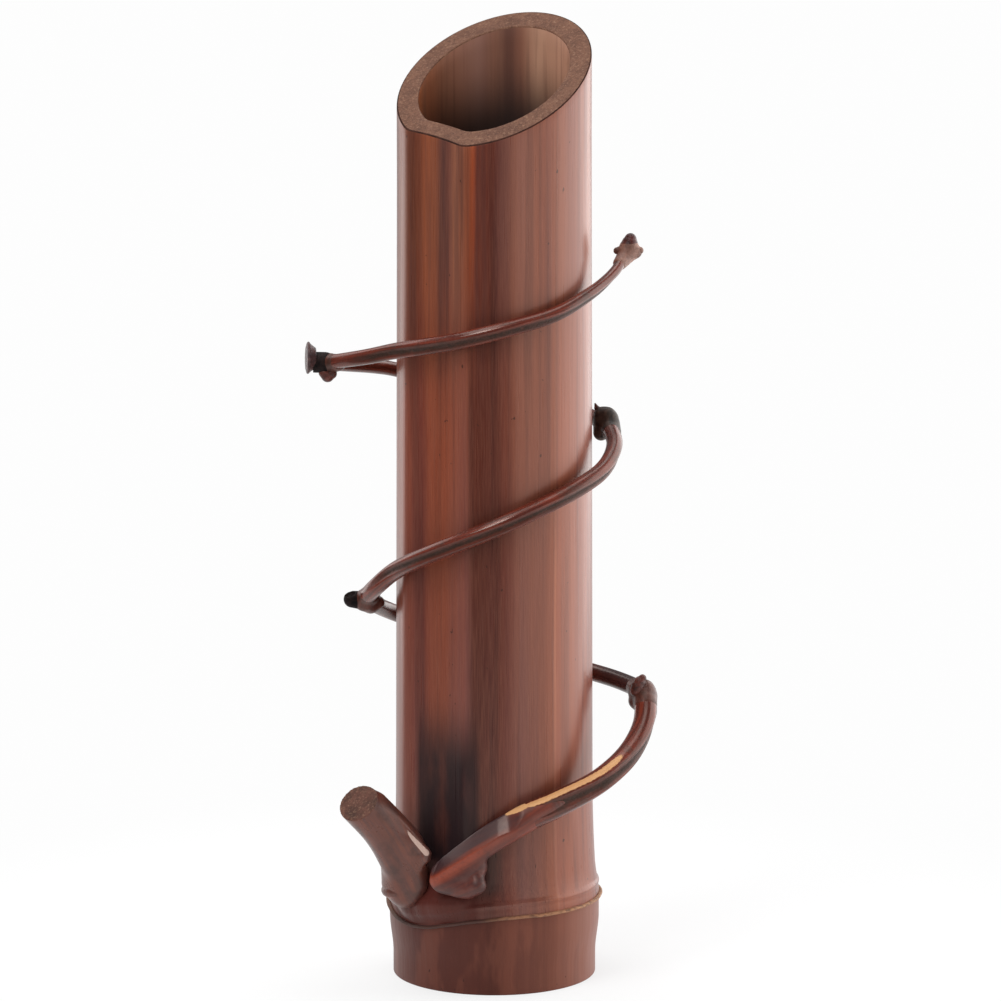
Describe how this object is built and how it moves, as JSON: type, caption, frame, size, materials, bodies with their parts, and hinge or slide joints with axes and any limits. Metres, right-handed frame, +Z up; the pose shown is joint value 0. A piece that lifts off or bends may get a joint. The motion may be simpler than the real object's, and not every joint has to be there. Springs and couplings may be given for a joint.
{
  "type": "bamboo vase",
  "caption": "Upright vase of smoked bamboo with a slanted mouth, a sawn branch stub at its foot and a thin natural branch that winds up round it.",
  "frame": {"origin": "centre of the foot's underside, on the axis of the foot's recess", "axes": "+Z up along the culm, -Y to the front with the branch stub at the front left, +X to the right"},
  "size_m": [0.1302, 0.0888, 0.3512],
  "materials": {
    "bamboo_culm": "smoked red-brown bamboo skin, polished to a soft gloss",
    "bamboo_inside": "bare pale brown bamboo, matt",
    "sheath_scar": "dry light brown edge, matt",
    "bamboo_branch": "dark red-brown branch, satin",
    "bamboo_knuckle": "near-black brown joints and twig stubs, satin"
  },
  "bodies": {
    "root": {"culm_tube": "bamboo_culm", "foot_ring": "bamboo_culm", "node_ring": "bamboo_culm", "node_diaphragm": "bamboo_inside", "sheath_scar": "sheath_scar", "branch_boss": "bamboo_branch", "branch_elbow": "bamboo_branch", "branch_stub": "bamboo_branch", "stub_collar": "bamboo_branch", "branch_internode_1": "bamboo_branch", "branch_internode_2": "bamboo_branch", "branch_internode_3": "bamboo_branch", "branch_internode_4": "bamboo_branch", "branch_internode_5": "bamboo_branch", "branch_knuckle_1": "bamboo_knuckle", "branch_knuckle_2": "bamboo_knuckle", "branch_knuckle_3": "bamboo_knuckle", "branch_knuckle_4": "bamboo_knuckle", "branch_tip": "bamboo_knuckle", "knuckle_1_bud": "bamboo_knuckle", "knuckle_2_twig": "bamboo_knuckle", "knuckle_3_spike": "bamboo_knuckle", "knuckle_4_bud": "bamboo_knuckle", "knuckle_4_flare": "bamboo_knuckle", "knuckle_4_twig": "bamboo_knuckle", "tip_bud": "bamboo_knuckle", "tip_prong": "bamboo_knuckle"}
  },
  "joints": []
}
